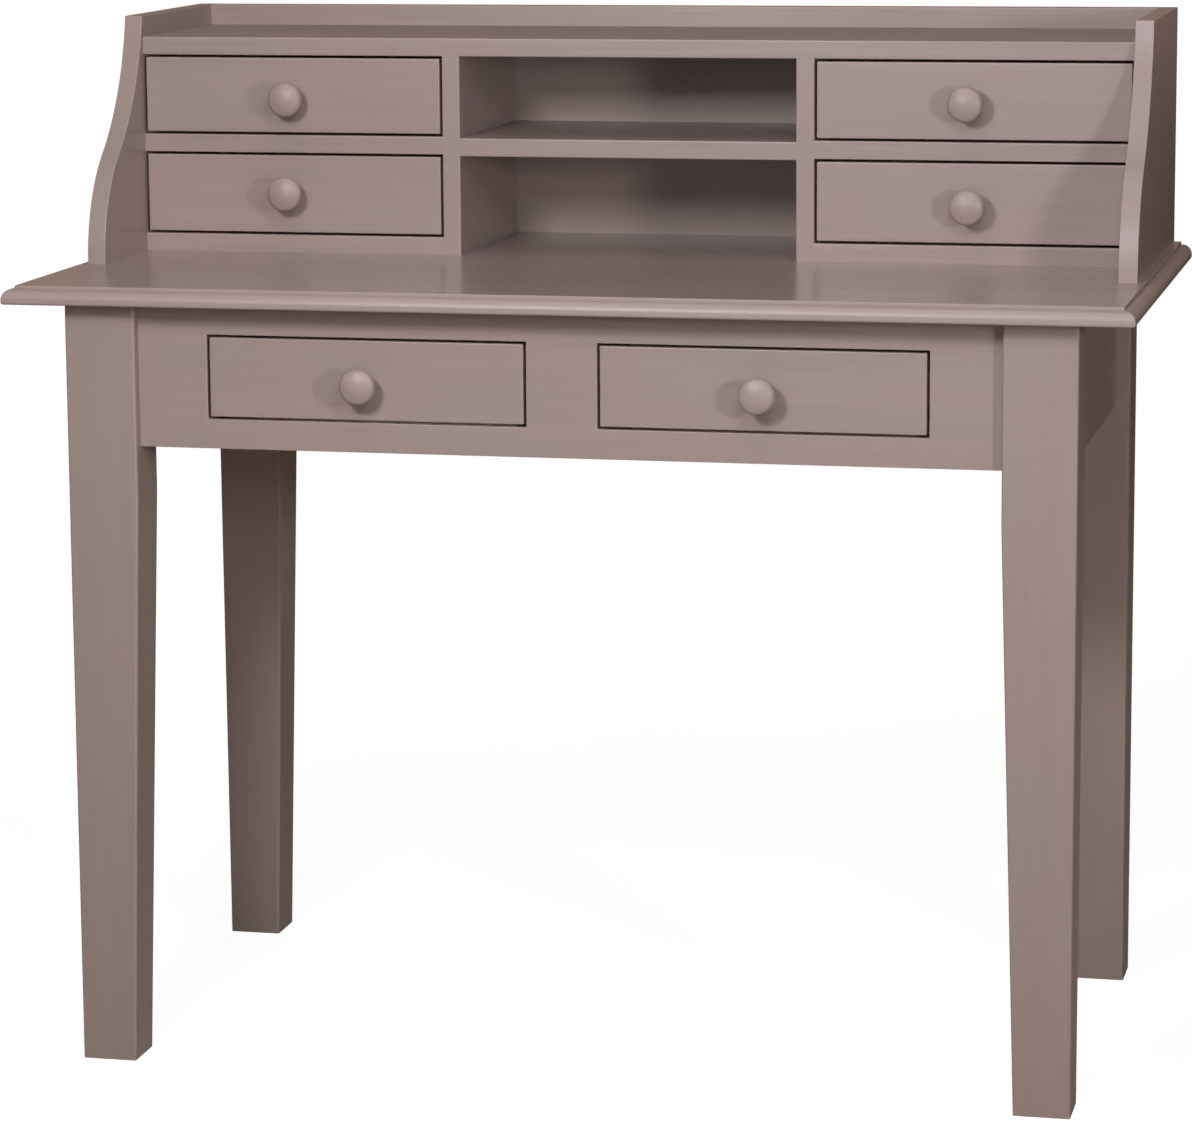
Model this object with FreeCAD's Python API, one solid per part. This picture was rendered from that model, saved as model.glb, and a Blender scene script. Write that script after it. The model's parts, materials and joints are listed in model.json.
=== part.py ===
import FreeCAD, Part
import math
import os

from FreeCAD import Vector

# A bonheur du jour: a writing desk on tapered legs with a low hutch of drawers and open bays.
# The frame: X to the right, Y to the back, Z up, millimetres. The origin is on the floor, under
# the middle of the whole piece, so the front edge of the desktop is at -desk_depth / 2.

# ---------------------------------------------------------------- driving dimensions

# Desktop
desk_width = 1100.0
desk_depth = 592.0
desk_height = 782.5
top_thickness = 18.0
moulding_projection = 11.0
moulding_step = 3.0
moulding_ledge = 1.5
moulding_lip = 4.5
moulding_foot_radius = 2.5

# Legs
leg_width = 71.0
leg_depth = 62.0
foot_width = 55.0
foot_depth = 53.0
leg_side_inset = 54.5
leg_front_inset = 30.5
leg_rear_inset = 15.0
leg_arris = 1.5
taper_drop = 50.0

# Aprons and the frame round the desk drawers
apron_height = 142.5
side_apron_height = 147.5
apron_thickness = 22.0
front_recess = 13.0
side_recess = 15.0
rear_recess = 13.0
top_rail_height = 30.5
bottom_rail_height = 29.0
centre_stile_width = 70.0
outer_stile_width = 70.0

# Joints in the base
tenon_length = 28.0
tenon_thickness = 8.0
rail_shoulder = 6.0
apron_shoulder = 15.0
stile_shoulder = 10.0
stub_length = 10.0
runner_stub_web = 1.0

# Runners, kickers and desktop buttons
runner_thickness = 22.0
runner_ledge = 18.0
guide_width = 30.0
guide_height = 14.0
guide_clearance = 1.0
button_width = 40.0
button_reach = 26.0
button_thickness = 18.0
button_tongue = 8.0
button_side_spacing = 240.0
button_long_spacing = 400.0

# Hutch
hutch_height = 244.0
hutch_depth = 251.5
hutch_side_inset = 18.5
panel_thickness = 18.5
board_thickness = 18.5
gallery_height = 21.5
gallery_thickness = 18.5
back_thickness = 10.0
bay_width = 349.0
lower_opening_height = 85.0
shelf_drop = 1.5

# Ogee front edge of the hutch side panels
panel_foot_depth = 387.5
panel_top_depth = 253.5
ogee_turn_height = 108.5
ogee_turn_depth = 52.5

# Joints in the hutch
housing_depth = 5.0
housing_setback = 12.0
back_rebate = 8.0
gallery_tongue_shoulder = 5.0
gallery_tongue_thickness = 12.0
dowel_diameter = 6.0
dowel_length = 24.0
dowel_in_top = 12.0
panel_dowel_spacing = 260.0
partition_dowel_spacing = 160.0

# Drawers
drawer_gap = 2.6
running_clearance = 0.3
front_thickness = 18.0
side_thickness = 10.0
side_drop = 3.0
front_lap = 6.0
tail_count = 3
tail_share = 0.5
tail_slope = 1.0 / 6.0
bottom_thickness = 5.0
bottom_groove = 5.0
bottom_lift = 8.0
drawer_back_thickness = 10.0
drawer_back_drop = 5.0
back_housing = 4.0
back_inset = 8.0
hutch_drawer_rear_gap = 9.5
desk_drawer_rear_gap = 58.5

# Turned knobs
knob_diameter = 36.0
knob_projection = 31.5
knob_crown = 8.8
knob_side_radius = 6.0
knob_collar_diameter = 21.0
knob_collar_height = 2.0
knob_neck_diameter = 15.0
knob_tenon_diameter = 10.0
knob_tenon_length = 14.0

# Where each knob sits, across and up from the middle of its drawer front: they are set by hand
knob_offsets = {
    "left_upper_drawer": (-1.0, -3.0),
    "left_lower_drawer": (-3.0, 2.0),
    "left_desk_drawer": (-2.0, -3.0),
    "right_upper_drawer": (-5.0, -1.5),
    "right_lower_drawer": (-2.5, -2.0),
    "right_desk_drawer": (-1.0, -2.5),
}

# ---------------------------------------------------------------- places that follow

front = -desk_depth / 2
rear = desk_depth / 2
half_width = desk_width / 2
underside = desk_height - top_thickness

leg_outer = half_width - leg_side_inset
leg_inner = leg_outer - leg_width
leg_front = front + leg_front_inset
leg_rear = rear - leg_rear_inset
apron_bottom = underside - apron_height
side_apron_bottom = underside - side_apron_height
taper_start = apron_bottom - taper_drop

frame_front = leg_front + front_recess
frame_back = frame_front + apron_thickness
side_apron_outer = leg_outer - side_recess
side_apron_inner = side_apron_outer - apron_thickness
rear_apron_outer = leg_rear - rear_recess
rear_apron_inner = rear_apron_outer - apron_thickness

desk_opening_bottom = apron_bottom + bottom_rail_height
desk_opening_top = underside - top_rail_height
desk_opening_inner = centre_stile_width / 2
desk_opening_outer = leg_inner - outer_stile_width

hutch_outer = half_width - hutch_side_inset
hutch_inner = hutch_outer - panel_thickness
hutch_top = desk_height + hutch_height
hutch_front = rear - hutch_depth
back_face = rear - back_thickness
top_board_top = hutch_top - gallery_height
top_board_bottom = top_board_top - board_thickness
base_board_top = desk_height + board_thickness
divider_bottom = base_board_top + lower_opening_height
divider_top = divider_bottom + board_thickness
shelf_top = divider_top - shelf_drop
partition_inner = bay_width / 2
partition_outer = partition_inner + board_thickness

hutch_drawer_length = back_face - hutch_drawer_rear_gap - hutch_front
desk_drawer_length = rear_apron_inner - desk_drawer_rear_gap - frame_front


# ---------------------------------------------------------------- helpers

def block(x0, x1, y0, y1, z0, z1):
    """A box between two corners, given in any order."""
    low = Vector(min(x0, x1), min(y0, y1), min(z0, z1))
    return Part.makeBox(abs(x1 - x0), abs(y1 - y0), abs(z1 - z0), low)


def joined(first, others):
    """One solid made of a piece and the tongues or tenons that belong to it."""
    shape = first
    for other in others:
        shape = shape.fuse(other)
    return shape.removeSplitter()


def without(shape, cutters):
    """The piece with its mortises, grooves and holes cut."""
    for cutter in cutters:
        shape = shape.cut(cutter)
    return shape


def prism(points, direction):
    """A solid from a closed flat outline of points, pushed along a direction."""
    wire = Part.makePolygon(points + [points[0]])
    return Part.Face(wire).extrude(direction)


def one_solid(shape):
    """The shape as a plain solid, whatever compound a boolean left it in."""
    solids = shape.Solids
    if len(solids) != 1:
        raise ValueError("expected one solid, found %d" % len(solids))
    return solids[0]


def save(name, *shapes):
    """Writes one node, as one solid or as a group of separate solids."""
    solids = [one_solid(shape) for shape in shapes]
    node = solids[0] if len(solids) == 1 else Part.makeCompound(solids)
    node.exportStep("parts/" + name + ".step")


# ---------------------------------------------------------------- desktop

def moulding(edge, inward, to_point):
    """Edges of the moulded profile, from the underside up to the flat top.

    edge is the outermost place, inward is +1 or -1 towards the middle of the desktop, and
    to_point turns a place and a height into a point.
    """
    round_out = moulding_projection - moulding_ledge
    round_up = top_thickness - moulding_step - moulding_lip
    round_foot = underside + moulding_lip
    lean = math.sqrt(0.5)
    ease = moulding_foot_radius
    under = to_point(edge + inward * ease, underside)
    eased = to_point(edge + inward * ease * (1 - lean), underside + ease * (1 - lean))
    low = to_point(edge, underside + ease)
    foot = to_point(edge, round_foot)
    belly = to_point(edge + inward * round_out * (1 - lean), round_foot + round_up * lean)
    head = to_point(edge + inward * round_out, round_foot + round_up)
    corner = to_point(edge + inward * moulding_projection, round_foot + round_up)
    flat = to_point(edge + inward * moulding_projection, desk_height)
    return [
        Part.Arc(under, eased, low).toShape(),
        Part.LineSegment(low, foot).toShape(),
        Part.Arc(foot, belly, head).toShape(),
        Part.LineSegment(head, corner).toShape(),
        Part.LineSegment(corner, flat).toShape(),
    ]


def section_end(edges, first):
    """The loose end of a run of edges: its first or its last point."""
    edge = edges[0] if first else edges[-1]
    place = edge.FirstParameter if first else edge.LastParameter
    return edge.valueAt(place)


def extruded(runs, direction):
    """A solid from runs of edges, closed by straight lines from each run to the next."""
    edges = []
    for index, run in enumerate(runs):
        following = runs[(index + 1) % len(runs)]
        edges.extend(run)
        edges.append(Part.LineSegment(section_end(run, False), section_end(following, True)).toShape())
    wire = Part.Wire(Part.__sortEdges__(edges))
    return Part.Face(wire).extrude(direction)


def desktop_blank():
    """The desktop before its joints: moulded on the front and both ends, flat at the back."""
    def across(y, z):
        return Vector(-half_width, y, z)

    def along(x, z):
        return Vector(x, front, z)

    rear_edge = [Part.LineSegment(across(rear, desk_height), across(rear, underside)).toShape()]
    front_run = moulding(front, 1, across)
    front_cut = extruded([front_run, rear_edge], Vector(desk_width, 0, 0))

    left_run = moulding(-half_width, 1, along)
    right_up = moulding(half_width, -1, along)
    right_run = [reversed_edge(edge) for edge in reversed(right_up)]
    ends_cut = extruded([left_run, right_run], Vector(0, desk_depth, 0))
    return front_cut.common(ends_cut)


def reversed_edge(edge):
    """The same edge drawn from its last point to its first."""
    start = edge.valueAt(edge.FirstParameter)
    end = edge.valueAt(edge.LastParameter)
    middle = edge.valueAt((edge.FirstParameter + edge.LastParameter) / 2)
    if (start + end).multiply(0.5).distanceToPoint(middle) < 1e-6:
        return Part.LineSegment(end, start).toShape()
    return Part.Arc(end, middle, start).toShape()


def make_desktop():
    save("desktop", without(desktop_blank(), hutch_dowels()))


# ---------------------------------------------------------------- legs, rails and aprons

def leg_section(side, outer_y, inward, width, depth, z):
    """One level of a leg: a rectangle with eased corners that keeps its outer corner."""
    outer_x = side * leg_outer
    inner_x = outer_x - side * width
    inner_y = outer_y + inward * depth
    ease_x = side * leg_arris
    ease_y = inward * leg_arris
    corners = [
        (outer_x - ease_x, outer_y),
        (inner_x + ease_x, outer_y),
        (inner_x, outer_y + ease_y),
        (inner_x, inner_y - ease_y),
        (inner_x + ease_x, inner_y),
        (outer_x - ease_x, inner_y),
        (outer_x, inner_y - ease_y),
        (outer_x, outer_y + ease_y),
    ]
    points = [Vector(x, y, z) for x, y in corners]
    return Part.makePolygon(points + [points[0]])


def leg_blank(side, outer_y, inward):
    """A leg that is straight down to the taper, and tapers on its two inner faces below it."""
    foot = leg_section(side, outer_y, inward, foot_width, foot_depth, 0)
    knee = leg_section(side, outer_y, inward, leg_width, leg_depth, taper_start)
    lower = Part.makeLoft([foot, knee], True, True)
    upper = Part.Face(knee).extrude(Vector(0, 0, underside - taper_start))
    return lower.fuse(upper)


def frame_tenon(side, low, high):
    """The tenon of a front rail in a front leg."""
    middle = (frame_front + frame_back) / 2
    half = tenon_thickness / 2
    end = leg_inner + tenon_length
    return block(side * leg_inner, side * end, middle - half, middle + half,
                 low + rail_shoulder, high - rail_shoulder)


def rear_tenon(side):
    """The tenon of the rear apron in a rear leg."""
    middle = (rear_apron_inner + rear_apron_outer) / 2
    half = tenon_thickness / 2
    end = leg_inner + tenon_length
    return block(side * leg_inner, side * end, middle - half, middle + half,
                 apron_bottom + apron_shoulder, underside - apron_shoulder)


def side_tenon(side, leg_face, outward):
    """The tenon of a side apron in a leg, from the leg's face outward (+1 to the back)."""
    middle = (side_apron_outer + side_apron_inner) / 2
    half = tenon_thickness / 2
    return block(side * (middle - half), side * (middle + half),
                 leg_face, leg_face + outward * tenon_length,
                 side_apron_bottom + apron_shoulder, underside - apron_shoulder)


def front_leg_face():
    return leg_front + leg_depth


def rear_leg_face():
    return leg_rear - leg_depth


def make_legs():
    for side, name in ((-1, "left"), (1, "right")):
        front_cuts = [
            frame_tenon(side, apron_bottom, desk_opening_bottom),
            frame_tenon(side, desk_opening_top, underside),
            side_tenon(side, front_leg_face(), -1),
        ]
        rear_cuts = [rear_tenon(side), side_tenon(side, rear_leg_face(), 1)]
        save("front_" + name + "_leg", without(leg_blank(side, leg_front, 1), front_cuts))
        save("rear_" + name + "_leg", without(leg_blank(side, leg_rear, -1), rear_cuts))


def stile_spans():
    """Name, and the left and right edge, of the three stiles of the front frame."""
    return [
        ("left", -leg_inner, -desk_opening_outer),
        ("centre", -desk_opening_inner, desk_opening_inner),
        ("right", desk_opening_outer, leg_inner),
    ]


def stile_tenon(left, right, z, upward):
    """The tenon at one end of a stile, in the rail that it meets at height z."""
    middle = (frame_front + frame_back) / 2
    half = tenon_thickness / 2
    return block(left + stile_shoulder, right - stile_shoulder, middle - half, middle + half,
                 z, z + upward * stub_length)


def make_front_frame():
    tops = []
    bottoms = []
    for name, left, right in stile_spans():
        top = stile_tenon(left, right, desk_opening_top, 1)
        bottom = stile_tenon(left, right, desk_opening_bottom, -1)
        body = block(left, right, frame_front, frame_back, desk_opening_bottom, desk_opening_top)
        save("front_" + name + "_stile", joined(body, [top, bottom]))
        tops.append(top)
        bottoms.append(bottom)

    top_rail = block(-leg_inner, leg_inner, frame_front, frame_back, desk_opening_top, underside)
    top_ends = [frame_tenon(side, desk_opening_top, underside) for side in (-1, 1)]
    slots = [slot for _, slot in front_buttons()]
    save("front_top_rail", without(joined(top_rail, top_ends), tops + slots))

    low_rail = block(-leg_inner, leg_inner, frame_front, frame_back, apron_bottom, desk_opening_bottom)
    low_ends = [frame_tenon(side, apron_bottom, desk_opening_bottom) for side in (-1, 1)]
    stubs = [runner_stub(left, right, frame_back, -1) for left, right in runner_spans()]
    save("front_bottom_rail", without(joined(low_rail, low_ends), bottoms + stubs))


def make_aprons():
    for side, name in ((-1, "left"), (1, "right")):
        body = block(side * side_apron_inner, side * side_apron_outer,
                     front_leg_face(), rear_leg_face(), side_apron_bottom, underside)
        ends = [side_tenon(side, front_leg_face(), -1), side_tenon(side, rear_leg_face(), 1)]
        slots = [slot for _, slot in side_buttons(side)]
        save(name + "_apron", without(joined(body, ends), slots))

    body = block(-leg_inner, leg_inner, rear_apron_inner, rear_apron_outer, apron_bottom, underside)
    ends = [rear_tenon(side) for side in (-1, 1)]
    slots = [slot for _, slot in rear_buttons()]
    stubs = [runner_stub(left, right, rear_apron_inner, 1) for left, right in runner_spans()]
    save("rear_apron", without(joined(body, ends), slots + stubs))


# ---------------------------------------------------------------- runners and kickers

def runner_spans():
    """Left and right edge of each runner: two outer ones and the one in the middle."""
    outer_face = desk_opening_outer - drawer_gap + guide_clearance
    outer = (outer_face - runner_ledge, outer_face + guide_width)
    inner = desk_opening_inner + drawer_gap - guide_clearance + runner_ledge
    return [(-outer[1], -outer[0]), (-inner, inner), outer]


def guide_spans():
    """Left and right edge of the raised guide on each runner."""
    outer_face = desk_opening_outer - drawer_gap + guide_clearance
    inner_face = desk_opening_inner + drawer_gap - guide_clearance
    outer = (outer_face, outer_face + guide_width)
    return [(-outer[1], -outer[0]), (-inner_face, inner_face), outer]


def runner_stub(left, right, face, outward):
    """The stub tenon at one end of a runner, in the rail or apron whose face is given."""
    middle = desk_opening_bottom - runner_thickness / 2
    half = tenon_thickness / 2
    reach = (apron_thickness - tenon_thickness) / 2 - runner_stub_web
    return block(left + stile_shoulder, right - stile_shoulder, face, face + outward * reach,
                 middle - half, middle + half)


def make_runners():
    runners = []
    kickers = []
    for (left, right), (guide_left, guide_right) in zip(runner_spans(), guide_spans()):
        body = block(left, right, frame_back, rear_apron_inner,
                     desk_opening_bottom - runner_thickness, desk_opening_bottom)
        guide = block(guide_left, guide_right, frame_back, rear_apron_inner,
                      desk_opening_bottom, desk_opening_bottom + guide_height)
        stubs = [runner_stub(left, right, frame_back, -1), runner_stub(left, right, rear_apron_inner, 1)]
        runners.append(joined(body, [guide] + stubs))
        kickers.append(block(left, right, frame_back, rear_apron_inner, desk_opening_top, underside))
    save("side_runners", runners[0], runners[2])
    save("centre_runner", runners[1])
    save("drawer_kickers", *kickers)


# ---------------------------------------------------------------- desktop buttons

def button(x, y, out_x, out_y):
    """A wooden button and its slot, at a point of an apron's inner face.

    out_x, out_y is the direction from the face towards the middle of the desk.
    """
    half = button_width / 2
    across_x = abs(out_y) * half
    across_y = abs(out_x) * half
    low = underside - button_thickness
    body = block(x - across_x, x + across_x + out_x * button_reach,
                 y - across_y, y + across_y + out_y * button_reach, low, underside)
    tongue = block(x - across_x, x + across_x - out_x * button_tongue,
                   y - across_y, y + across_y - out_y * button_tongue, low, low + button_tongue)
    return joined(body, [tongue]), tongue


def side_buttons(side):
    half = button_side_spacing / 2
    return [button(side * side_apron_inner, y, -side, 0) for y in (-half, half)]


def rear_buttons():
    half = button_long_spacing / 2
    return [button(x, rear_apron_inner, 0, -1) for x in (-half, half)]


def front_buttons():
    half = button_long_spacing / 2
    return [button(x, frame_back, 0, 1) for x in (-half, half)]


def make_buttons():
    pairs = side_buttons(-1) + side_buttons(1) + rear_buttons() + front_buttons()
    save("top_buttons", *[body for body, _ in pairs])


# ---------------------------------------------------------------- hutch

def ogee_outline():
    """The side panel's outline in its own plane: places along Y and heights along Z."""
    foot_y = rear - panel_foot_depth
    head_y = rear - panel_top_depth
    lower_radius = (ogee_turn_height ** 2 + ogee_turn_depth ** 2) / (2 * ogee_turn_depth)
    turn = math.asin(ogee_turn_height / lower_radius)

    def on_lower(angle):
        return Vector(0, foot_y + lower_radius * (1 - math.cos(angle)),
                      desk_height + lower_radius * math.sin(angle))

    foot = on_lower(0)
    knee = on_lower(turn)
    head = Vector(0, head_y, hutch_top)
    inward = Vector(0, -math.cos(turn), math.sin(turn))
    chord = head - knee
    upper_radius = chord.dot(chord) / (2 * chord.dot(inward))
    centre = knee + inward * upper_radius
    middle = (knee + head) * 0.5 - centre
    upper_middle = centre + middle.normalize() * upper_radius
    back_top = Vector(0, rear, hutch_top)
    back_foot = Vector(0, rear, desk_height)
    return Part.Wire([
        Part.Arc(foot, on_lower(turn / 2), knee).toShape(),
        Part.Arc(knee, upper_middle, head).toShape(),
        Part.LineSegment(head, back_top).toShape(),
        Part.LineSegment(back_top, back_foot).toShape(),
        Part.LineSegment(back_foot, foot).toShape(),
    ])


def side_tongue(side, face, outward, low, high, end=back_face):
    """The tongue of a level board in a housing, at the face of an upright.

    side is the half of the hutch, and outward is +1 where the tongue points away from the middle.
    The housing is stopped at the front and runs out where the board ends.
    """
    return block(side * face, side * (face + outward * housing_depth),
                 hutch_front + housing_setback, end, low, high)


def top_tongue(side):
    """The tongue of the top board, which covers the back panel and so runs to the rear."""
    return side_tongue(side, hutch_inner, 1, top_board_bottom, top_board_top, rear)


def gallery_tongue(side):
    """The tongue of the gallery rail in a side panel, hidden from above."""
    rail_face = rear - gallery_thickness
    return block(side * hutch_inner, side * (hutch_inner + housing_depth),
                 rail_face, rail_face + gallery_tongue_thickness,
                 top_board_top + gallery_tongue_shoulder, hutch_top - gallery_tongue_shoulder)


def partition_tongue(side):
    """The tongue of a partition in the underside of the top board."""
    return block(side * partition_inner, side * partition_outer,
                 hutch_front + housing_setback, back_face,
                 top_board_bottom, top_board_bottom + housing_depth)


def back_board():
    """The back panel, in rebates of the side panels and under the top board."""
    reach = hutch_inner + back_rebate
    return block(-reach, reach, back_face, rear, desk_height, top_board_bottom)


def levels():
    """Name, bottom and top of the two level boards of each drawer side of the hutch."""
    return [
        ("base_board", desk_height, base_board_top),
        ("divider", divider_bottom, divider_top),
    ]


def make_hutch_boards():
    for side, name in ((-1, "left"), (1, "right")):
        for level, low, high in levels():
            body = block(side * partition_outer, side * hutch_inner, hutch_front, back_face, low, high)
            ends = [side_tongue(side, hutch_inner, 1, low, high),
                    side_tongue(side, partition_outer, -1, low, high)]
            save(name + "_" + level, joined(body, ends))

    shelf = block(-partition_inner, partition_inner, hutch_front, back_face,
                  shelf_top - board_thickness, shelf_top)
    ends = [side_tongue(side, partition_inner, 1, shelf_top - board_thickness, shelf_top)
            for side in (-1, 1)]
    save("centre_shelf", joined(shelf, ends))

    top = block(-hutch_inner, hutch_inner, hutch_front, rear, top_board_bottom, top_board_top)
    ends = [top_tongue(side) for side in (-1, 1)]
    housings = [partition_tongue(side) for side in (-1, 1)]
    save("top_board", without(joined(top, ends), housings))

    rail = block(-hutch_inner, hutch_inner, rear - gallery_thickness, rear, top_board_top, hutch_top)
    save("gallery_rail", joined(rail, [gallery_tongue(side) for side in (-1, 1)]))
    save("back_panel", back_board())


def make_hutch_uprights():
    outline = Part.Face(ogee_outline())
    for side, name in ((-1, "left"), (1, "right")):
        blank = outline.extrude(Vector(side * panel_thickness, 0, 0))
        blank.translate(Vector(side * hutch_inner, 0, 0))
        cuts = [side_tongue(side, hutch_inner, 1, low, high) for _, low, high in levels()]
        cuts.append(top_tongue(side))
        cuts.append(gallery_tongue(side))
        cuts.append(back_board())
        save(name + "_side_panel", without(blank, cuts + hutch_dowels()))

        body = block(side * partition_inner, side * partition_outer, hutch_front, back_face,
                     desk_height, top_board_bottom)
        cuts = [side_tongue(side, partition_outer, -1, low, high) for _, low, high in levels()]
        cuts.append(side_tongue(side, partition_inner, 1, shelf_top - board_thickness, shelf_top))
        upright = joined(body, [partition_tongue(side)])
        save(name + "_partition", without(upright, cuts + hutch_dowels()))


def hutch_dowels():
    """Dowels that stand in the desktop and locate the side panels and partitions."""
    panel_middle = rear - panel_foot_depth / 2
    partition_middle = (hutch_front + back_face) / 2
    rows = [
        (hutch_inner + panel_thickness / 2, panel_middle, panel_dowel_spacing),
        (partition_inner + board_thickness / 2, partition_middle, partition_dowel_spacing),
    ]
    dowels = []
    for x, middle, spacing in rows:
        for side in (-1, 1):
            for step in (-0.5, 0.5):
                foot = Vector(side * x, middle + step * spacing, desk_height - dowel_in_top)
                dowels.append(Part.makeCylinder(dowel_diameter / 2, dowel_length, foot))
    return dowels


# ---------------------------------------------------------------- drawers

def tail(x0, x1, face_y, middle, base):
    """One dovetail of a drawer side, wider at its tip, in the back of the drawer front."""
    reach = front_thickness - front_lap
    half = base / 2
    half_tip = half + reach * tail_slope
    tip_y = face_y - reach
    points = [
        Vector(x0, face_y, middle - half),
        Vector(x0, tip_y, middle - half_tip),
        Vector(x0, tip_y, middle + half_tip),
        Vector(x0, face_y, middle + half),
    ]
    return prism(points, Vector(x1 - x0, 0, 0))


def tails(x0, x1, face_y, low, high):
    pitch = (high - low) / tail_count
    return [tail(x0, x1, face_y, low + (index + 0.5) * pitch, pitch * tail_share)
            for index in range(tail_count)]


def turned_arc(centre, radius, start, end):
    """An arc of a knob's outline about a centre, between two angles from the face outward."""
    points = [centre + Vector(radius * math.cos(angle), -radius * math.sin(angle), 0)
              for angle in (start, (start + end) / 2, end)]
    return Part.Arc(*points).toShape()


def knob(x, y, z):
    """A turned knob on the face of a drawer front, with the tenon that holds it.

    The outline is drawn to the right of the axis, with the face of the front at 0 and the knob
    towards -Y. A dome and a tighter side arc run into each other and end at the neck.
    """
    widest = knob_projection - knob_crown
    side_reach = knob_diameter / 2 - knob_side_radius
    neck = knob_neck_diameter / 2
    collar = knob_collar_diameter / 2
    shank = knob_tenon_diameter / 2

    spread = side_reach ** 2 + knob_crown ** 2 - knob_side_radius ** 2
    dome_radius = spread / (2 * (knob_crown - knob_side_radius))
    dome_centre = knob_projection - dome_radius
    joint_angle = math.acos(side_reach / (dome_radius - knob_side_radius))
    neck_angle = -math.acos((neck - side_reach) / knob_side_radius)
    neck_top = widest + knob_side_radius * math.sin(neck_angle)

    def at(reach, out):
        return Vector(reach, -out, 0)

    stem = [at(0, knob_projection), at(0, -knob_tenon_length), at(shank, -knob_tenon_length),
            at(shank, 0), at(collar, 0), at(collar, knob_collar_height),
            at(neck, knob_collar_height), at(neck, neck_top)]
    edges = [Part.LineSegment(a, b).toShape() for a, b in zip(stem, stem[1:])]
    edges.append(turned_arc(at(side_reach, widest), knob_side_radius, neck_angle, joint_angle))
    edges.append(turned_arc(at(0, dome_centre), dome_radius, joint_angle, math.pi / 2))
    turned = Part.Face(Part.Wire(edges)).revolve(Vector(0, 0, 0), Vector(0, 1, 0), 360)
    turned.translate(Vector(x, y, z))
    return turned


def make_drawer(name, left, right, low, high, face, length):
    """A drawer for an opening: its front, two sides, back, bottom and knob."""
    x0 = left + drawer_gap
    x1 = right - drawer_gap
    z0 = low + drawer_gap
    z1 = high - drawer_gap
    inner_face = face + front_thickness
    end = face + length
    side_low = low + running_clearance
    side_high = z1 - side_drop
    inner_x0 = x0 + side_thickness
    inner_x1 = x1 - side_thickness

    bottom_low = side_low + bottom_lift
    back_end = end - back_inset
    back_start = back_end - drawer_back_thickness
    bottom = block(inner_x0 - bottom_groove, inner_x1 + bottom_groove,
                   inner_face - bottom_groove, back_end, bottom_low, bottom_low + bottom_thickness)
    back = block(inner_x0 - back_housing, inner_x1 + back_housing, back_start, back_end,
                 bottom_low + bottom_thickness, side_high - drawer_back_drop)
    back_slot = block(inner_x0 - back_housing, inner_x1 + back_housing, back_start, back_end,
                      bottom_low + bottom_thickness, side_high)

    left_tails = tails(x0, inner_x0, inner_face, z0, side_high)
    right_tails = tails(inner_x1, x1, inner_face, z0, side_high)
    left_side = block(x0, inner_x0, inner_face, end, side_low, side_high)
    right_side = block(inner_x1, x1, inner_face, end, side_low, side_high)
    across, up = knob_offsets[name]
    knob_solid = knob((x0 + x1) / 2 + across, face, (z0 + z1) / 2 + up)
    blank = block(x0, x1, face, inner_face, z0, z1)

    save(name + "_front", without(blank, left_tails + right_tails + [bottom, knob_solid]))
    save(name + "_sides", without(joined(left_side, left_tails), [bottom, back_slot]),
         without(joined(right_side, right_tails), [bottom, back_slot]))
    save(name + "_back", back)
    save(name + "_bottom", bottom)
    save(name + "_knob", knob_solid)


def make_drawers():
    openings = [
        ("upper_drawer", partition_outer, hutch_inner, divider_top, top_board_bottom,
         hutch_front, hutch_drawer_length),
        ("lower_drawer", partition_outer, hutch_inner, base_board_top, divider_bottom,
         hutch_front, hutch_drawer_length),
        ("desk_drawer", desk_opening_inner, desk_opening_outer, desk_opening_bottom,
         desk_opening_top, frame_front, desk_drawer_length),
    ]
    for kind, inner, outer, low, high, face, length in openings:
        make_drawer("left_" + kind, -outer, -inner, low, high, face, length)
        make_drawer("right_" + kind, inner, outer, low, high, face, length)


os.makedirs("parts", exist_ok=True)
make_desktop()
make_legs()
make_front_frame()
make_aprons()
make_runners()
make_buttons()
make_hutch_boards()
make_hutch_uprights()
save("hutch_dowels", *hutch_dowels())
make_drawers()
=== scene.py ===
import json
import math

import bmesh
import bpy
from mathutils import Matrix, Vector
from mathutils.bvhtree import BVHTree


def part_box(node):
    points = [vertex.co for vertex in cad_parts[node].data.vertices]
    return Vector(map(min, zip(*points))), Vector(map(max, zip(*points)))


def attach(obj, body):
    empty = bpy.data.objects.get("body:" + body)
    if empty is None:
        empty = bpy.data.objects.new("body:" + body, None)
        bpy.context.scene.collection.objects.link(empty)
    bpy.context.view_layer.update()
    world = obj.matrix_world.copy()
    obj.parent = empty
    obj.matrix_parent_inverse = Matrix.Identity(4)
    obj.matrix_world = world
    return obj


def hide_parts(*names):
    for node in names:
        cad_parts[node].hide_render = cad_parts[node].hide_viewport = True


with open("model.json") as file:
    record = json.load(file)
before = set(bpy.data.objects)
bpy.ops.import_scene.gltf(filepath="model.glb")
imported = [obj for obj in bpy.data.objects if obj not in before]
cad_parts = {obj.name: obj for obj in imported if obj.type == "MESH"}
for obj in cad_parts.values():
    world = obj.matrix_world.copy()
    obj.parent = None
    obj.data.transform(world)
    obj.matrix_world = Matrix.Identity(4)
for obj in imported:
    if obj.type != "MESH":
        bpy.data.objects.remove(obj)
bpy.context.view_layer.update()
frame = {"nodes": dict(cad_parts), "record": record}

# A painted bonheur du jour. The solids give each piece its shape and place. This script softens their
# edges, turns the knobs, finishes every surface, and adds the floor, the lamps and the camera.

# ---------------------------------------------------------------- named values, in metres

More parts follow.
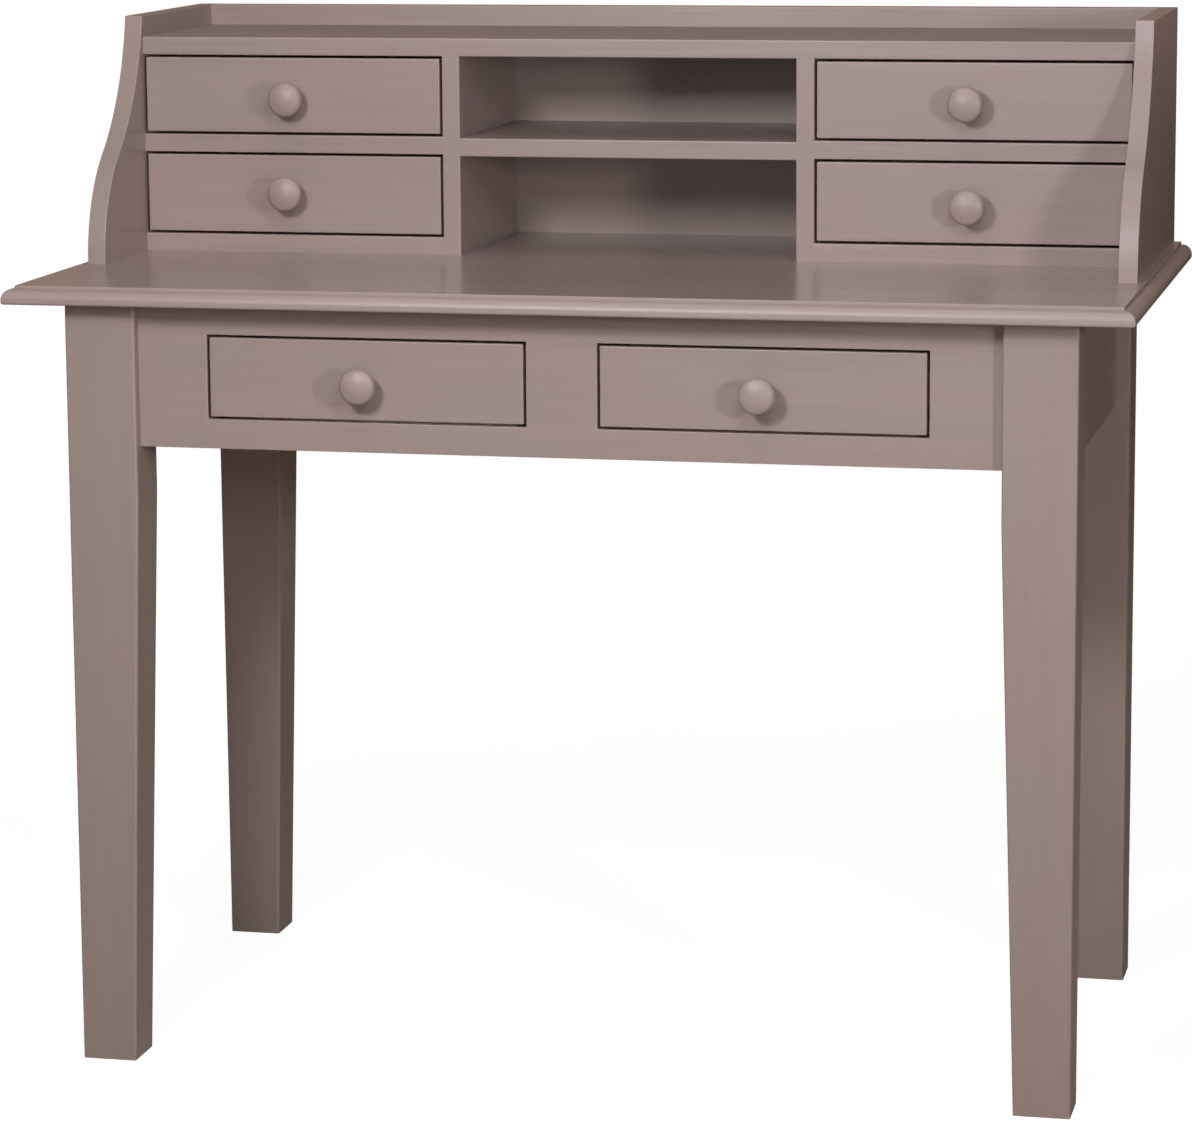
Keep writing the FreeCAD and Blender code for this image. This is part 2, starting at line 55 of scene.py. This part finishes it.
# Camera. Its lens and sensor are in millimetres.
CAMERA_PLACE = (0.9333, -4.2234, 1.2605)
CAMERA_YAW = math.radians(13.413)
CAMERA_PITCH = math.radians(-9.348)
CAMERA_ROLL = math.radians(-0.477)
CAMERA_LENS = 130.02
CAMERA_SENSOR = 36.0
CAMERA_SHIFT = (0.04, -0.06)

# Lamps: place, width, watts and tint. All of them face one point of the object.
LAMPS = {
    "key_lamp": ((-0.33, -1.93, 1.57), 0.35, 21.2, (1.0, 1.01, 1.0)),
    "side_lamp": ((1.95, -1.95, 1.12), 0.30, 18.2, (1.0, 1.0, 1.0)),
    "hutch_lamp": ((0.62, -1.6, 1.72), 0.5, 5.9, (1.0, 1.12, 1.36)),
    "front_lamp": ((0.4, -4.2, 0.9), 1.2, 6.5, (0.85, 0.97, 1.08)),
    "top_lamp": ((0.0, -0.8, 3.0), 2.0, 17.2, (1.0, 0.94, 0.90)),
    "right_lamp": ((3.0, -1.0, 1.2), 1.5, 1.6, (1.0, 0.3, 0.1)),
    "rear_lamp": ((-1.0, 3.0, 0.5), 0.4, 34.0, (1.0, 0.97, 0.94)),
}
LAMP_TARGET = (0.0, 0.0, 0.7)

# Room: the camera sees it as white. Glossy surfaces mirror a part of it, in its own tint.
ROOM_GLOW = 0.34
ROOM_TINT = (1.0, 0.68, 0.54)
WHITE = (1.0, 1.0, 1.0)

# Paint, in linear colour. Its hue drifts between a warm and a cool side.
PAINT = (0.345, 0.262, 0.238)
PAINT_WARM = (1.03, 1.0, 1.02)
PAINT_COOL = (1.0, 1.025, 1.01)
PAINT_DRIFT = (0.35, 0.65)
# Softened edges of the paint are lighter by this gain: a painted highlight where the rounded edges catch
# the light.
EDGE_HIGHLIGHT_GAIN = 1.10
KNOB_GAIN = 1.03

# Roughness of the paint
PAINT_ROUGHNESS = 0.34
TOP_ROUGHNESS = 0.23
MOULDING_ROUGHNESS = 0.42
TOP_BOARD_ROUGHNESS = 0.62
KNOB_ROUGHNESS = 0.44
ROUGHNESS_SPREAD = 0.03

# Brush lines: the axis that they follow and how strong they are, by the kind of brushing. The lines
# are strongest on the boards of the hutch, which show their narrow edges.
AXES = {"x": 0, "y": 1, "z": 2, "board": 0}
BRUSH_TONES = {"x": 0.46, "y": 0.40, "z": 0.32, "board": 0.85}
BRUSH_DEPTH = 0.2
BRUSH_RELIEF = 0.05
TOP_RELIEF = 0.02
KNOB_RELIEF = 0.35
PAINT_RELIEF_HEIGHT = 0.00025

# Noise in the paint: features per metre along the brush lines and across them
BRUSH_GRAIN = (6.0, 380.0)
STREAK_GRAIN = (3.5, 85.0)
PATCH_GRAIN = (4.0, 9.0)
MOTTLE_GRAIN = (160.0, 160.0)
DRIFT_STREAK_SHARE = 0.2

# Bare wood, in linear colour
WOOD = (0.62, 0.43, 0.25)
WOOD_DARK = (0.46, 0.29, 0.15)
PLY = (0.68, 0.50, 0.31)
PLY_DARK = (0.58, 0.40, 0.22)
WOOD_ROUGHNESS = (0.5, 0.68)
WOOD_RELIEF = 0.3
WOOD_RELIEF_HEIGHT = 0.0002

# Noise in the bare wood: features per metre along the grain and across it
FIGURE_GRAIN = (1.2, 28.0)
FIGURE_DETAIL = 3.0
FIGURE_DISTORTION = 1.2
FIGURE_RELIEF = 0.4
FIBRE_GRAIN = (14.0, 900.0)
FIBRE_SHARE = 0.3

# Noise where no other number is given: its octaves, and the part of its range that is used
NOISE_DETAIL = 2.0
NOISE_RANGE = (0.3, 0.7)

# Softened edges: their widths, their shape and the material slot that they take. On paint that slot
# holds a lighter paint, which is a painted highlight.
EDGE_WIDTH = 0.0012
LEG_EDGE_WIDTH = 0.0006
MOULDING_EDGE_WIDTH = 0.0006
EDGE_SEGMENTS = 3
EDGE_PROFILE = 0.5
EDGE_SLOT = 1

# Surfaces that are nearer than TOUCH touch, and corners that are nearer than WELD are one. An edge is
# tested for touch at the sample places along it.
TOUCH = 0.00005
WELD = 0.00001
EDGE_SAMPLES = (0.2, 0.5, 0.8)

# Two faces that turn less than FLAT become one, less than GENTLE they are shaded as one surface, and
# more than SHARP the edge between them is softened.
FLAT_ANGLE = math.radians(1.0)
GENTLE_ANGLE = math.radians(35.0)
SHARP_ANGLE = math.radians(28.0)

# A face looks straight up if its normal rises by more than this.
UPWARD = 0.999

# Knobs: the turned outline. The boxes of the solids give its radius, length and place. The middle of
# the collar's rounded corner is cut back by a share of its radius.
KNOB_CROWN = 0.0088
KNOB_SIDE_RADIUS = 0.006
KNOB_NECK_RADIUS = 0.0075
KNOB_COLLAR_RADIUS = 0.0105
KNOB_COLLAR_HEIGHT = 0.002
KNOB_CORNER_CUT = 0.3
KNOB_SEGMENTS = 72
KNOB_ARC_STEPS = 14

# Floor, in linear colour
FLOOR_SIZE = 30.0
FLOOR_COLOUR = (0.50, 0.42, 0.35)
FLOOR_SHADED = (0.2, 0.2, 0.2)
FLOOR_GLOW = 0.93
FLOOR_FADE = (1.3, 2.6)

BODIES = frame["record"]["behaviour"]["bodies"]


# ---------------------------------------------------------------- node helpers

def new_material(name):
    """A new material, its tree and its principled shader."""
    material = bpy.data.materials.new(name)
    material.use_nodes = True
    tree = material.node_tree
    return material, tree, tree.nodes["Principled BSDF"]


def add_node(tree, kind, **inputs):
    """A node of a kind, with values for the inputs that are named."""
    node = tree.nodes.new(kind)
    for name, value in inputs.items():
        node.inputs[name.replace("_", " ")].default_value = value
    return node


def opaque(colour):
    """A colour with its fourth number, for a socket."""
    return (*colour, 1.0)


def scaled(colour, gain):
    """A colour made lighter or darker."""
    return tuple(channel * gain for channel in colour)


def tinted(colour, tint):
    """A colour times another, channel by channel."""
    return tuple(channel * part for channel, part in zip(colour, tint))


def frame_point(tree):
    """The place in the frame, in metres."""
    return tree.nodes.new("ShaderNodeTexCoord").outputs["Object"]


def along(axis, grain):
    """Features per metre on each axis, for a texture that runs along one of them."""
    lengthwise, across = grain
    return tuple(lengthwise if index == axis else across for index in range(3))


def noise(tree, features, detail=NOISE_DETAIL, distortion=0.0):
    """Soft noise with so many features per metre on each axis, as a value from 0 to 1."""
    mapping = add_node(tree, "ShaderNodeMapping", Scale=features)
    tree.links.new(frame_point(tree), mapping.inputs["Vector"])
    node = add_node(tree, "ShaderNodeTexNoise", Scale=1.0, Detail=detail, Distortion=distortion)
    tree.links.new(mapping.outputs["Vector"], node.inputs["Vector"])
    return node.outputs["Fac"]


def ramp(tree, value, low, high, source=NOISE_RANGE):
    """A value carried from the source range to low and high, without going past either end."""
    start, end = source
    node = add_node(tree, "ShaderNodeMapRange", From_Min=start, From_Max=end, To_Min=low, To_Max=high)
    tree.links.new(value, node.inputs["Value"])
    return node.outputs["Result"]


def summed(tree, terms):
    """The weighted sum of several values."""
    total = None
    for value, weight in terms:
        node = tree.nodes.new("ShaderNodeMath")
        node.operation = "MULTIPLY_ADD"
        tree.links.new(value, node.inputs[0])
        node.inputs[1].default_value = weight
        if total is None:
            node.inputs[2].default_value = 0.0
        else:
            tree.links.new(total, node.inputs[2])
        total = node.outputs[0]
    return total


def mixed(tree, first, second, share=0.5):
    """A value between two, with the given share of the second."""
    return summed(tree, [(first, 1 - share), (second, share)])


def mixed_colours(tree, value, first, second):
    """A colour between two, which are colours or sockets."""
    node = tree.nodes.new("ShaderNodeMix")
    node.data_type = "RGBA"
    tree.links.new(value, node.inputs["Factor"])
    for name, colour in (("A", first), ("B", second)):
        socket = [found for found in node.inputs if found.name == name and found.type == "RGBA"][0]
        if isinstance(colour, tuple):
            socket.default_value = opaque(colour)
        else:
            tree.links.new(colour, socket)
    return [found for found in node.outputs if found.type == "RGBA"][0]


def mixed_shaders(tree, value, first, second):
    """A shader between two."""
    node = tree.nodes.new("ShaderNodeMixShader")
    for socket, source in zip(node.inputs, (value, first, second)):
        tree.links.new(source, socket)
    return node.outputs[0]


def bump(tree, height, strength, distance, shader):
    """Relief from a height, for a principled shader."""
    node = add_node(tree, "ShaderNodeBump", Strength=strength, Distance=distance)
    tree.links.new(height, node.inputs["Height"])
    tree.links.new(node.outputs["Normal"], shader.inputs["Normal"])


# ---------------------------------------------------------------- materials

def painted(name, brushing, gain=1.0, roughness=PAINT_ROUGHNESS, relief=BRUSH_RELIEF):
    """Satin taupe paint with faint brush lines along one axis and soft drifts of hue."""
    axis = AXES[brushing]
    tone = BRUSH_TONES[brushing]
    material, tree, shader = new_material(name)
    brush = noise(tree, along(axis, BRUSH_GRAIN))
    streaks = noise(tree, along(axis, STREAK_GRAIN))
    patches = noise(tree, along(axis, PATCH_GRAIN))
    mottle = noise(tree, along(axis, MOTTLE_GRAIN))

    # Lines darken the paint, so it starts lighter where they are stronger than on an upright piece.
    level = gain * (1 + BRUSH_DEPTH * (tone - BRUSH_TONES["z"]) / 2)
    paint = scaled(PAINT, level)
    drift = ramp(tree, mixed(tree, patches, streaks, DRIFT_STREAK_SHARE), 0.0, 1.0, PAINT_DRIFT)
    hue = mixed_colours(tree, drift, tinted(paint, PAINT_WARM), tinted(paint, PAINT_COOL))
    lines = ramp(tree, mixed(tree, brush, streaks), 0.0, tone)
    dark = scaled(PAINT, level * (1 - BRUSH_DEPTH))
    tree.links.new(mixed_colours(tree, lines, hue, dark), shader.inputs["Base Color"])

    dulled = ramp(tree, mottle, roughness - ROUGHNESS_SPREAD, roughness + ROUGHNESS_SPREAD)
    tree.links.new(dulled, shader.inputs["Roughness"])
    bump(tree, mixed(tree, brush, mottle), relief, PAINT_RELIEF_HEIGHT, shader)
    return material


def bare(name, axis, light, dark):
    """Planed wood with its grain along one axis."""
    material, tree, shader = new_material(name)
    figure = noise(tree, along(axis, FIGURE_GRAIN), FIGURE_DETAIL, FIGURE_DISTORTION)
    fibre = noise(tree, along(axis, FIBRE_GRAIN))
    grain = ramp(tree, mixed(tree, figure, fibre, FIBRE_SHARE), 0.0, 1.0)
    tree.links.new(mixed_colours(tree, grain, light, dark), shader.inputs["Base Color"])
    tree.links.new(ramp(tree, fibre, *WOOD_ROUGHNESS), shader.inputs["Roughness"])
    height = summed(tree, [(fibre, 1.0), (figure, FIGURE_RELIEF)])
    bump(tree, height, WOOD_RELIEF, WOOD_RELIEF_HEIGHT, shader)
    return material


PAINTS = {brushing: painted("paint_" + brushing, brushing) for brushing in AXES}
# Lighter copies of the paints for the softened edges: a painted highlight.
PAINT_EDGE_HIGHLIGHTS = {brushing: painted("paint_edge_highlight_" + brushing, brushing, EDGE_HIGHLIGHT_GAIN) for brushing in AXES}
TOP_PAINT = painted("paint_top", "x", 1.0, TOP_ROUGHNESS, TOP_RELIEF)
MOULDING_PAINT = painted("paint_moulding", "x", 1.0, MOULDING_ROUGHNESS)
TOP_BOARD_PAINT = painted("paint_top_board", "board", 1.0, TOP_BOARD_ROUGHNESS)
KNOB_PAINT = painted("paint_knob", "x", KNOB_GAIN, KNOB_ROUGHNESS, KNOB_RELIEF)
WOODS = {word: bare("wood_" + word, AXES[word], WOOD, WOOD_DARK) for word in ("x", "y", "z")}
PLYWOOD = bare("plywood", AXES["x"], PLY, PLY_DARK)


# ---------------------------------------------------------------- pieces from the solids

def body_of(node):
    """The body that holds a node."""
    for body, members in BODIES.items():
        if node in members:
            return body
    raise ValueError("no body holds " + node)


def welded(node):
    """A solid's mesh with its corners joined and its flat faces whole."""
    mesh = bmesh.new()
    mesh.from_mesh(frame["nodes"][node].data)
    bmesh.ops.remove_doubles(mesh, verts=mesh.verts, dist=WELD)
    bmesh.ops.dissolve_limit(mesh, angle_limit=FLAT_ANGLE, verts=mesh.verts, edges=mesh.edges)
    return mesh


def neighbours(node):
    """The other nodes of the same body whose boxes meet this one's."""
    low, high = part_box(node)
    found = []
    for other in BODIES[body_of(node)]:
        other_low, other_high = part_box(other)
        above = any(other_low[axis] > high[axis] + TOUCH for axis in range(3))
        below = any(other_high[axis] < low[axis] - TOUCH for axis in range(3))
        if other != node and not above and not below:
            found.append(other)
    return found


def cut_at(mesh, node, others):
    """Cuts the faces where a neighbour begins or ends, so that each edge touches it or doesn't."""
    low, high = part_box(node)
    for other in others:
        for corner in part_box(other):
            for axis in range(3):
                if low[axis] + EDGE_WIDTH < corner[axis] < high[axis] - EDGE_WIDTH:
                    normal = Vector((0, 0, 0))
                    normal[axis] = 1
                    parts = mesh.verts[:] + mesh.edges[:] + mesh.faces[:]
                    bmesh.ops.bisect_plane(mesh, geom=parts, plane_co=corner, plane_no=normal, dist=WELD)


def tree_of(others):
    """A search tree of the surfaces of several nodes."""
    points = []
    faces = []
    for other in others:
        data = frame["nodes"][other].data
        start = len(points)
        points.extend(vertex.co.copy() for vertex in data.vertices)
        faces.extend([start + index for index in polygon.vertices] for polygon in data.polygons)
    return BVHTree.FromPolygons(points, faces) if faces else None


def is_free(edge, surfaces):
    """True if no neighbour touches the edge."""
    if surfaces is None:
        return True
    first, second = (vertex.co for vertex in edge.verts)
    for share in EDGE_SAMPLES:
        if surfaces.find_nearest(first.lerp(second, share), TOUCH)[0] is not None:
            return False
    return True


def is_outer_corner(edge):
    """True if two faces meet in an edge that stands out and isn't nearly flat."""
    return len(edge.link_faces) == 2 and edge.is_convex and edge.calc_face_angle(0) > SHARP_ANGLE


def soften(mesh, surfaces, width):
    """Rounds the outer corners that no neighbour touches, and gives them the material for edges, which
    on paint is lighter: a painted highlight.
    """
    corners = [edge for edge in mesh.edges if is_outer_corner(edge) and is_free(edge, surfaces)]
    bmesh.ops.bevel(mesh, geom=corners, offset=width, offset_type="OFFSET", segments=EDGE_SEGMENTS,
                    profile=EDGE_PROFILE, affect="EDGES", clamp_overlap=True, material=EDGE_SLOT)


def corner_normals(mesh):
    """A normal for each face corner. Large faces stay flat, and round ones turn smoothly."""
    normals = []
    for face in mesh.faces:
        for corner in face.loops:
            total = Vector((0, 0, 0))
            for other in corner.vert.link_faces:
                if face.normal.angle(other.normal, math.pi) < GENTLE_ANGLE:
                    total += other.normal * other.calc_area()
            normals.append(total.normalized() if total.length > 0 else face.normal.copy())
    return normals


def stand_in(node, ending, mesh, materials):
    """A piece made from a mesh, which stands for a solid and rides on its body."""
    data = bpy.data.meshes.new(node + ending)
    mesh.to_mesh(data)
    mesh.free()
    for material in materials:
        data.materials.append(material)
    piece = bpy.data.objects.new(node + ending, data)
    bpy.context.scene.collection.objects.link(piece)
    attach(piece, body_of(node))
    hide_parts(node)
    return piece


def dressed(node, material, width, highlight_edge_material=None):
    """A piece with softened edges that stands for a solid. A lighter edge material gives those edges a
    painted highlight.
    """
    others = neighbours(node)
    mesh = welded(node)
    cut_at(mesh, node, others)
    soften(mesh, tree_of(others), width)
    mesh.normal_update()
    normals = corner_normals(mesh)
    for face in mesh.faces:
        face.smooth = True
    piece = stand_in(node, "_finished", mesh, [material, highlight_edge_material or material])
    piece.data.normals_split_custom_set(normals)
    return piece


def dress_painted(nodes, brushing, width=EDGE_WIDTH):
    """Painted pieces for several solids, a little lighter along their edges: a painted highlight."""
    for node in nodes:
        dressed(node, PAINTS[brushing], width, PAINT_EDGE_HIGHLIGHTS[brushing])


def dress_bare(nodes, material):
    """Pieces of bare wood for several solids."""
    for node in nodes:
        dressed(node, material, EDGE_WIDTH)


def finish_top(piece, material):
    """Gives the faces that look straight up a material of their own."""
    piece.data.materials.append(material)
    for polygon in piece.data.polygons:
        if polygon.normal.z > UPWARD:
            polygon.material_index = len(piece.data.materials) - 1


# ---------------------------------------------------------------- knobs

def arc_points(centre_reach, centre_out, radius, start, end):
    """Reach and height of points along an arc of the knob's outline."""
    points = []
    for step in range(KNOB_ARC_STEPS + 1):
        angle = start + (end - start) * step / KNOB_ARC_STEPS
        points.append((centre_reach + radius * math.cos(angle), centre_out + radius * math.sin(angle)))
    return points


def knob_outline(radius, projection):
    """The outline from the face of the drawer to the middle of the dome.

    The arc of the dome runs on into the arc of the side, which ends at the neck.
    """
    widest = projection - KNOB_CROWN
    side_reach = radius - KNOB_SIDE_RADIUS
    spread = side_reach ** 2 + KNOB_CROWN ** 2 - KNOB_SIDE_RADIUS ** 2
    dome = spread / (2 * (KNOB_CROWN - KNOB_SIDE_RADIUS))
    meet = math.acos(side_reach / (dome - KNOB_SIDE_RADIUS))
    neck_angle = -math.acos((KNOB_NECK_RADIUS - side_reach) / KNOB_SIDE_RADIUS)
    soft = EDGE_WIDTH
    cut = soft * KNOB_CORNER_CUT
    collar = [
        (KNOB_COLLAR_RADIUS, 0.0),
        (KNOB_COLLAR_RADIUS, KNOB_COLLAR_HEIGHT - soft),
        (KNOB_COLLAR_RADIUS - cut, KNOB_COLLAR_HEIGHT - cut),
        (KNOB_COLLAR_RADIUS - soft, KNOB_COLLAR_HEIGHT),
        (KNOB_NECK_RADIUS + soft, KNOB_COLLAR_HEIGHT),
        (KNOB_NECK_RADIUS, KNOB_COLLAR_HEIGHT + soft),
    ]
    side = arc_points(side_reach, widest, KNOB_SIDE_RADIUS, neck_angle, meet)
    crown = arc_points(0.0, projection - dome, dome, meet, math.pi / 2)
    return collar + side + crown[1:]


def knob_ring(mesh, centre, y, reach):
    """A ring of corners about the axis of a knob."""
    ring = []
    for step in range(KNOB_SEGMENTS):
        turn = 2 * math.pi * step / KNOB_SEGMENTS
        x = centre.x + reach * math.cos(turn)
        z = centre.z + reach * math.sin(turn)
        ring.append(mesh.verts.new((x, y, z)))
    return ring


def spun(outline, centre, face):
    """A closed mesh spun from an outline about the axis of a knob, out from the drawer's face."""
    mesh = bmesh.new()
    rings = [knob_ring(mesh, centre, face - out, reach) for reach, out in outline[:-1]]
    tip = mesh.verts.new((centre.x, face - outline[-1][1], centre.z))
    pairs = [(step, (step + 1) % KNOB_SEGMENTS) for step in range(KNOB_SEGMENTS)]
    for inner, outer in zip(rings, rings[1:]):
        for step, following in pairs:
            mesh.faces.new((inner[step], inner[following], outer[following], outer[step]))
    for step, following in pairs:
        mesh.faces.new((rings[-1][step], rings[-1][following], tip))
    mesh.faces.new(list(reversed(rings[0])))
    bmesh.ops.recalc_face_normals(mesh, faces=mesh.faces)
    for part in mesh.faces:
        part.smooth = len(part.verts) < KNOB_SEGMENTS
    return mesh


def make_knob(drawer):
    """A turned knob in the place of the drawer's solid one."""
    node = drawer + "_knob"
    low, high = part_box(node)
    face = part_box(drawer + "_front")[0].y
    outline = knob_outline((high.x - low.x) / 2, face - low.y)
    stand_in(node, "_turned", spun(outline, (low + high) / 2, face), [KNOB_PAINT])


# ---------------------------------------------------------------- the object

DRAWERS = [side + "_" + kind for side in ("left", "right")
           for kind in ("upper_drawer", "lower_drawer", "desk_drawer")]
LEGS = ["front_left_leg", "front_right_leg", "rear_left_leg", "rear_right_leg"]
FRAME_PIECES = ["front_top_rail", "front_bottom_rail", "front_left_stile", "front_centre_stile",
                "front_right_stile", "rear_apron"]
THIN_BOARDS = ["gallery_rail", "centre_shelf", "left_divider", "right_divider", "left_base_board",
               "right_base_board"]
UPRIGHTS = ["left_side_panel", "right_side_panel", "left_partition", "right_partition"]

desktop = dressed("desktop", MOULDING_PAINT, MOULDING_EDGE_WIDTH)
finish_top(desktop, TOP_PAINT)
dress_painted(LEGS, "z", LEG_EDGE_WIDTH)
dress_painted(FRAME_PIECES, "x")
dress_painted(["left_apron", "right_apron"], "y")
top_board = dressed("top_board", PAINTS["board"], EDGE_WIDTH, PAINT_EDGE_HIGHLIGHTS["board"])
finish_top(top_board, TOP_BOARD_PAINT)
dress_painted(THIN_BOARDS, "board")
dress_painted(["back_panel"], "x")
dress_painted(UPRIGHTS, "z")
dress_bare(["side_runners", "centre_runner", "drawer_kickers"], WOODS["y"])
dress_bare(["top_buttons"], WOODS["x"])

for drawer in DRAWERS:
    dress_painted([drawer + "_front"], "x")
    dress_bare([drawer + "_sides"], WOODS["y"])
    dress_bare([drawer + "_back"], WOODS["x"])
    dress_bare([drawer + "_bottom"], PLYWOOD)
    make_knob(drawer)

# The dowels keep the meshes of their solids: they are hidden in the joints.
dowels = frame["nodes"]["hutch_dowels"]
dowels.data.materials.clear()
dowels.data.materials.append(WOODS["z"])


# ---------------------------------------------------------------- floor, lamps and camera

def floor_material():
    """Pale and matt to the light. The camera sees a white that keeps the object's faint shadow."""
    material = bpy.data.materials.new("pale_floor")
    material.use_nodes = True
    tree = material.node_tree
    tree.nodes.clear()
    matt = add_node(tree, "ShaderNodeBsdfDiffuse", Color=opaque(FLOOR_COLOUR))
    faint = add_node(tree, "ShaderNodeBsdfDiffuse", Color=opaque(FLOOR_SHADED))
    glow = add_node(tree, "ShaderNodeEmission", Color=opaque(WHITE), Strength=FLOOR_GLOW)
    near = tree.nodes.new("ShaderNodeAddShader")
    tree.links.new(faint.outputs[0], near.inputs[0])
    tree.links.new(glow.outputs[0], near.inputs[1])
    white = add_node(tree, "ShaderNodeEmission", Color=opaque(WHITE), Strength=1.0)

    # From the object outwards, the floor turns to plain white.
    distance = tree.nodes.new("ShaderNodeVectorMath")
    distance.operation = "LENGTH"
    tree.links.new(frame_point(tree), distance.inputs[0])
    away = ramp(tree, distance.outputs["Value"], 0.0, 1.0, FLOOR_FADE)
    seen = mixed_shaders(tree, away, near.outputs[0], white.outputs[0])
    rays = tree.nodes.new("ShaderNodeLightPath")
    surface = mixed_shaders(tree, rays.outputs["Is Camera Ray"], matt.outputs[0], seen)
    output = tree.nodes.new("ShaderNodeOutputMaterial")
    tree.links.new(surface, output.inputs["Surface"])
    return material


def make_floor():
    """The floor under the object, which is a stage and no part of it."""
    half = FLOOR_SIZE / 2
    corners = [(-half, -half, 0), (half, -half, 0), (half, half, 0), (-half, half, 0)]
    data = bpy.data.meshes.new("floor")
    data.from_pydata(corners, [], [(0, 1, 2, 3)])
    data.materials.append(floor_material())
    floor = bpy.data.objects.new("floor", data)
    bpy.context.scene.collection.objects.link(floor)


def make_lamp(name, place, width, watts, tint):
    """A square soft lamp that faces the object."""
    data = bpy.data.lights.new(name, "AREA")
    data.shape = "SQUARE"
    data.size = width
    data.energy = watts
    data.color = tint
    lamp = bpy.data.objects.new(name, data)
    lamp.location = place
    lamp.rotation_euler = (Vector(LAMP_TARGET) - Vector(place)).to_track_quat("-Z", "Y").to_euler()
    bpy.context.scene.collection.objects.link(lamp)


def make_world():
    """A room that the camera sees as white and that glossy surfaces mirror. It lights nothing else."""
    world = bpy.data.worlds.new("room")
    bpy.context.scene.world = world
    world.use_nodes = True
    tree = world.node_tree
    background = tree.nodes["Background"]
    rays = tree.nodes.new("ShaderNodeLightPath")
    seen = rays.outputs["Is Camera Ray"]
    mirrored = rays.outputs["Is Glossy Ray"]
    tree.links.new(summed(tree, [(seen, 1.0), (mirrored, ROOM_GLOW)]), background.inputs["Strength"])
    tree.links.new(mixed_colours(tree, seen, ROOM_TINT, WHITE), background.inputs["Color"])


def make_camera():
    """The camera, turned by its yaw, pitch and roll."""
    data = bpy.data.cameras.new("camera")
    data.sensor_fit = "HORIZONTAL"
    data.sensor_width = CAMERA_SENSOR
    data.lens = CAMERA_LENS
    data.shift_x, data.shift_y = CAMERA_SHIFT
    camera = bpy.data.objects.new("camera", data)
    turn = Matrix.Rotation(CAMERA_YAW, 4, "Z") @ Matrix.Rotation(math.pi / 2 + CAMERA_PITCH, 4, "X")
    camera.matrix_world = Matrix.Translation(CAMERA_PLACE) @ turn @ Matrix.Rotation(CAMERA_ROLL, 4, "Z")
    bpy.context.scene.collection.objects.link(camera)
    bpy.context.scene.camera = camera


make_floor()
for name, (place, width, watts, tint) in LAMPS.items():
    make_lamp(name, place, width, watts, tint)
make_world()
make_camera()
bpy.context.scene.view_settings.view_transform = "Standard"
